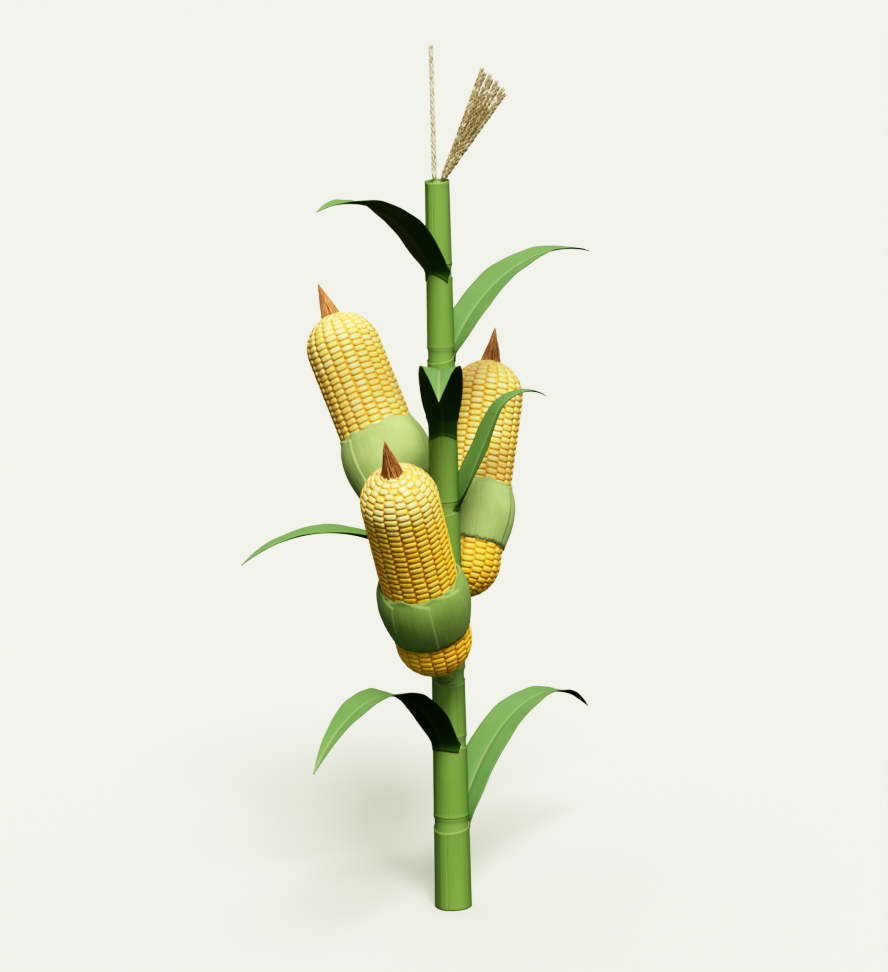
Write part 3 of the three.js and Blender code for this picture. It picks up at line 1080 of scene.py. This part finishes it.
def make_husk(ear, seed):
    """Two layers of overlapping husk leaves, pointed above and torn below."""
    chance = random.Random(seed)
    _, stand = ear_place(ear)
    half_turn = pi / HUSK_LEAVES * HUSK_SPREAD
    bm = new_bmesh()
    for layer in range(HUSK_LAYERS):
        for leaf in range(HUSK_LEAVES):
            centre = 2 * pi * (leaf - HUSK_FIRST_TURN + layer / HUSK_LAYERS) / HUSK_LEAVES
            peak = HUSK_TIP_HEIGHT + HUSK_PEAK_RISE - HUSK_LAYER_DROP * layer
            peak += chance.uniform(-HUSK_PEAK_SPREAD, HUSK_PEAK_SPREAD)
            peak_at = chance.uniform(-HUSK_PEAK_SHIFT, HUSK_PEAK_SHIFT)
            tears = [chance.uniform(0, HUSK_TEARS) for _ in range(HUSK_COLUMNS + 1)]

            def place(across, along):
                turn = centre + across * half_turn
                column = round((across + 1) / 2 * HUSK_COLUMNS)
                bottom = HUSK_BOTTOM + HUSK_LAYER_RISE * (HUSK_LAYERS - 1 - layer)
                bottom -= HUSK_TEETH * (column % 2) + tears[column]
                from_peak = abs(across - peak_at) / (1 + abs(peak_at))
                rise = (1 - from_peak) ** HUSK_PEAK_SHARPNESS
                top = HUSK_TOP + lerp(-HUSK_SHOULDER_DROP, peak, rise)
                height = lerp(bottom, top, along)
                share = (height - HUSK_BOTTOM) / (HUSK_TOP - HUSK_BOTTOM)
                radius = HUSK_INNER_RADIUS + husk_thickness(share) - HUSK_LAYER_DEPTH * layer
                radius -= HUSK_TUCK * (1 - across) / 2
                radius += HUSK_FLUTE_DEPTH * cos(HUSK_FLUTES * across * pi)
                radius = max(radius, HUSK_INNER_RADIUS + HUSK_WALL)
                side = HUSK_SIDE_MARK * grown(abs(across), HUSK_SIDE_FROM, 1)
                end = HUSK_END_MARK * grown(abs(2 * along - 1), HUSK_END_FROM, 1)
                metres = (across * half_turn * radius, height)
                return around_axis(turn, radius, height), metres, max(side, end)

            bend_sheet(bm, HUSK_COLUMNS, HUSK_ROWS, place)
    finish = husk_green if ear["ripeness_and_shade"] > GREENER_HUSK_ABOVE else husk_pale
    piece = walled(bm, f"{ear['name']}_husk_leaves", finish, HUSK_WALL, stand)
    settle(piece, "husk", f"{ear['name']}_husk")


def strand_shape():
    """A four-sided rod in steps, so that it can bend."""
    bm = new_rod(4, STRAND_TIP)
    long_edges = [e for e in bm.edges if abs(e.verts[0].co.z - e.verts[1].co.z) > 0.5]
    bmesh.ops.subdivide_edges(bm, edges=long_edges, cuts=STRAND_STEPS - 1)
    return arrays_of(bm)


def make_silk(ear, seed):
    """Strands of silk rise off the tip of the cob and gather to a point."""
    chance = random.Random(seed)
    verts, faces = strand_shape()
    _, stand = ear_place(ear)
    tip = COB_STRAIGHT + COB_RADIUS + SILK_HEIGHT
    parts = []
    for _ in range(SILK_STRANDS):
        spread = sqrt(chance.random())
        turn = chance.uniform(0, 2 * pi)
        foot = COB_STRAIGHT + sqrt(COB_RADIUS**2 - (SILK_RADIUS * spread) ** 2) - SILK_SUNK
        reach = lerp(1, chance.uniform(SILK_LEAST_REACH, 1), smooth(spread * SILK_RAGGEDNESS))
        sway = chance.uniform(-SILK_SWAY, SILK_SWAY)
        curl = chance.uniform(0, 2 * pi)
        thickness = STRAND_RADIUS * chance.uniform(*STRAND_SIZES)
        rise = verts[:, 2]
        out = SILK_RADIUS * SILK_FILL * spread * np.interp(reach * rise, *SILK_OUTLINE)
        out += SILK_WAVE * np.sin(SILK_WAVE_TURN * rise + curl) * rise
        bent = turn + sway * rise
        height = lerp(foot, tip, reach * rise)
        local = np.column_stack((out * np.cos(bent), out * np.sin(bent), height))
        local += verts * (thickness, thickness, 0)
        brown = chance.choices(range(len(silk_browns)), weights=SILK_SHARES)[0]
        parts.append((carried(local, stand), faces, brown))
    piece = joined(f"{ear['name']}_silk_strands", parts, silk_browns)
    settle(piece, "silk", f"{ear['name']}_silk")


def shank_ring(height):
    """How far one of a shank's rings has swollen at a height, from 0 to 1."""
    return bump_at(height % SHANK_RING_PITCH, SHANK_RING_PITCH / 2, SHANK_RING_HALF_WIDTH)


def make_shank(ear):
    """A short ringed stem from the stalk to the round foot of the ear."""
    foot, _ = ear_place(ear)
    root = Vector((0, 0, ear["height"] - ear["reach"] * SHANK_DROP_SHARE))
    along = foot - root
    length = along.length
    outward = hypot(along.x, along.y) / length
    start = (taper_radius(root.z) - SHANK_IN_STALK) / outward
    end = length - COB_RADIUS + SHANK_IN_EAR
    profile = [(0, start)]
    for i in range(SHANK_STEPS + 1):
        height = lerp(start, end, i / SHANK_STEPS)
        taper = lerp(SHANK_STALK_RADIUS, SHANK_EAR_RADIUS, height / length)
        profile.append((taper + SHANK_RING_SWELLING * shank_ring(height), height))
    profile.append((0, end))
    bm = turned(profile, SHANK_SIDES, shank_ring, SHANK_RING_MARK)
    place = standing(root, along.normalized())
    piece = object_from(bm, f"{ear['name']}_shank_stem", [shank_green], place)
    settle(piece, "shank", f"{ear['name']}_shank")


# Tassel --------------------------------


def spikelet_shape():
    """A pointed spindle along +Z, from 0 to 1, of radius one."""
    bm = bmesh.new()
    bmesh.ops.create_uvsphere(bm, u_segments=SPIKELET_SIDES, v_segments=SPIKELET_SIDES, radius=1)
    for vert in bm.verts:
        share = (vert.co.z + 1) / 2
        reach = vert.co.xy.length
        if reach > 1e-4:
            swell = sin(pi * share**SPIKELET_WIDEST_LOW) ** SPIKELET_FULLNESS
            vert.co.xy *= swell / reach
        vert.co.z = share
    return arrays_of(bm)


def spikelet_rows(chance, foot, axis, length, stem_radius, bare, rows, shares):
    """A stem with spikelets that point along it, in staggered rows round it."""
    stand = standing(foot, axis)
    spikelet, spikelet_faces = spikelet_shape()
    stem, stem_faces = arrays_of(new_rod(TASSEL_STEM_SIDES, TASSEL_STEM_TIP))
    stem_local = stem * np.array([stem_radius, stem_radius, length - SPIKELET_LENGTH / 2])
    parts = [(carried(stem_local, stand), stem_faces, shares.index(max(shares)))]
    covered = length - bare - SPIKELET_LENGTH
    count = int(covered / SPIKELET_PITCH) + 1
    for i in range(count):
        height = bare + covered * i / (count - 1)
        radius = stem_radius * lerp(1, TASSEL_STEM_TIP, height / length)
        for row in range(rows):
            turn = 2 * pi * (row + 0.5 * (i % 2)) / rows
            turn += chance.uniform(-SPIKELET_MOST_TURN, SPIKELET_MOST_TURN)
            opening = radians(SPIKELET_OPENING * chance.uniform(*SPIKELET_OPENINGS))
            along = around_axis(turn, sin(opening), cos(opening))
            beside = level(turn + pi / 2)
            size = chance.uniform(*SPIKELET_SIZES)
            local = placed(
                spikelet,
                around_axis(turn, radius * SPIKELET_SET_IN, height),
                beside * (SPIKELET_RADIUS * size),
                beside.cross(along) * (SPIKELET_RADIUS * size * SPIKELET_FLATNESS),
                along * min(SPIKELET_LENGTH * size, length - height),
            )
            straw = chance.choices(range(len(tassel_straws)), weights=shares)[0]
            parts.append((carried(local, stand), spikelet_faces, straw))
    return parts


def make_tassel():
    """The upright spike and the fan of branches beside it."""
    chance = random.Random(TASSEL_SEED)
    bottom = STALK_HEIGHT - TASSEL_SUNK
    foot = Vector((SPIKE_OFFSET, 0, bottom))
    axis = aimed(180, SPIKE_LEAN)
    spike = spikelet_rows(chance, foot, axis, SPIKE_LENGTH + TASSEL_SUNK, **SPIKE)
    settle(joined("tassel_spike_spikelets", spike, tassel_straws), "tassel", "tassel_spike")

    fan = []
    foot = Vector((BRANCH_OFFSET, 0, bottom))
    for i in range(BRANCH_COUNT):
        heading = -BRANCH_SPREAD if i % 2 else BRANCH_SPREAD
        axis = aimed(heading, BRANCH_FIRST_LEAN + BRANCH_LEAN_STEP * i)
        length = BRANCH_LENGTH - BRANCH_SHORTENING * i + TASSEL_SUNK
        fan += spikelet_rows(chance, foot, axis, length, **BRANCH)
    settle(joined("tassel_fan_spikelets", fan, tassel_straws), "tassel", "tassel_branches")


# Floor, light and camera ---------------

FLOOR_HALF_SIZE = 80
FLOOR_DROP = 0.5 * MM

# The sky's strength grows from dim to bright as a direction turns from away to towards.
SKY_TOWARDS = Vector((0.28, -0.12, 0.94))
SKY_FACING = (-0.25, 0.65)
SKY_STRENGTH = (0.033, 0.90)
SKY_COLOUR = (1.0, 1.0, 0.97)
BACKDROP = (1.23, 1.31, 1.06)

CAMERA_PLACE = Vector((0.443, -5.254, 1.742))
CAMERA_TARGET = Vector((0, 0, 0.72))
CAMERA_ROLL = -1.3
CAMERA_LENS = 121

# Input and output of the film curve: it deepens the shade and softens the highlights.
TONE_WHITE = 1.6
TONE_POINTS = [
    (0.01, 0.003), (0.03, 0.012), (0.06, 0.032), (0.12, 0.085),
    (0.25, 0.225), (0.45, 0.45), (0.80, 0.74), (1.20, 0.89),
]


def make_floor():
    bm = bmesh.new()
    bmesh.ops.create_grid(bm, x_segments=1, y_segments=1, size=FLOOR_HALF_SIZE)
    bmesh.ops.translate(bm, vec=(0, 0, -FLOOR_DROP), verts=bm.verts)
    material, tree, inputs = principled("pale_floor", specular=0.1)
    ground = mottled(tree, 1.5, (0.655, 0.675, 0.565), (0.667, 0.687, 0.577), amount=0.1)
    set_finish(tree, inputs, ground["Color"], ground["Grain"], roughness=(0.9, 1.0))
    floor = object_from(bm, "pale_floor", [material])
    floor.visible_diffuse = False
    floor.visible_glossy = False


def make_sky():
    """Soft light, most from one side above; the camera sees the floor's own tone."""
    world = bpy.data.worlds.new("studio")
    bpy.context.scene.world = world
    world.use_nodes = True
    tree = world.node_tree
    direction = add_node(tree, "TexCoord").outputs["Generated"]
    towards = {0: direction, 1: SKY_TOWARDS.normalized()}
    facing = add_node(tree, "VectorMath", towards, operation="DOT_PRODUCT")
    glow = map_range(tree, facing.outputs["Value"], *SKY_FACING, *SKY_STRENGTH, "SMOOTHSTEP")
    seen = add_node(tree, "LightPath").outputs["Is Camera Ray"]
    background = tree.nodes["Background"].inputs
    feed(tree, background["Color"], mix_colour(tree, seen, SKY_COLOUR, BACKDROP))
    feed(tree, background["Strength"], math_node(tree, "MAXIMUM", glow, seen))


def make_sun(name, towards, energy, spread, colour):
    """A lamp of parallel light, seen as a disc of a spread in degrees."""
    light = bpy.data.lights.new(name, "SUN")
    light.energy = energy
    light.angle = radians(spread)
    light.color = colour
    sun = new_object(name, light)
    sun.rotation_mode = "QUATERNION"
    sun.rotation_quaternion = Vector(towards).to_track_quat("Z", "Y")
    return sun


def make_camera():
    data = bpy.data.cameras.new("camera")
    data.lens = CAMERA_LENS
    data.clip_end = 4 * FLOOR_HALF_SIZE
    camera = new_object("camera", data)
    aim = (CAMERA_TARGET - CAMERA_PLACE).to_track_quat("-Z", "Y")
    camera.location = CAMERA_PLACE
    camera.rotation_mode = "QUATERNION"
    camera.rotation_quaternion = aim @ Quaternion((0, 0, 1), radians(CAMERA_ROLL))
    bpy.context.scene.camera = camera


def set_tone():
    view = bpy.context.scene.view_settings
    view.view_transform = "Standard"
    view.use_curve_mapping = True
    mapping = view.curve_mapping
    mapping.white_level = (TONE_WHITE,) * 3
    curve = mapping.curves[3]
    for given, shown_as in TONE_POINTS:
        curve.points.new(given / TONE_WHITE, shown_as)
    mapping.update()


make_camera()
make_sky()
make_sun("softbox", (0.26, -0.92, 1.22), energy=3.6, spread=22, colour=(1.0, 0.985, 0.95))
back_fill = make_sun("back_fill", (-0.4, 1.0, 0.5), energy=0.9, spread=70, colour=(1.0, 1.0, 0.98))
back_fill.visible_glossy = False
make_floor()
set_tone()

make_cane()
make_ligules()
make_sheaths()
for number, leaf in enumerate(LEAVES):
    make_blade(number, leaf)
for number, ear in enumerate(EARS):
    make_kernels(ear, KERNEL_SEED + number)
    make_husk(ear, HUSK_SEED + number)
    make_silk(ear, SILK_SEED + number)
    make_shank(ear)
make_tassel()
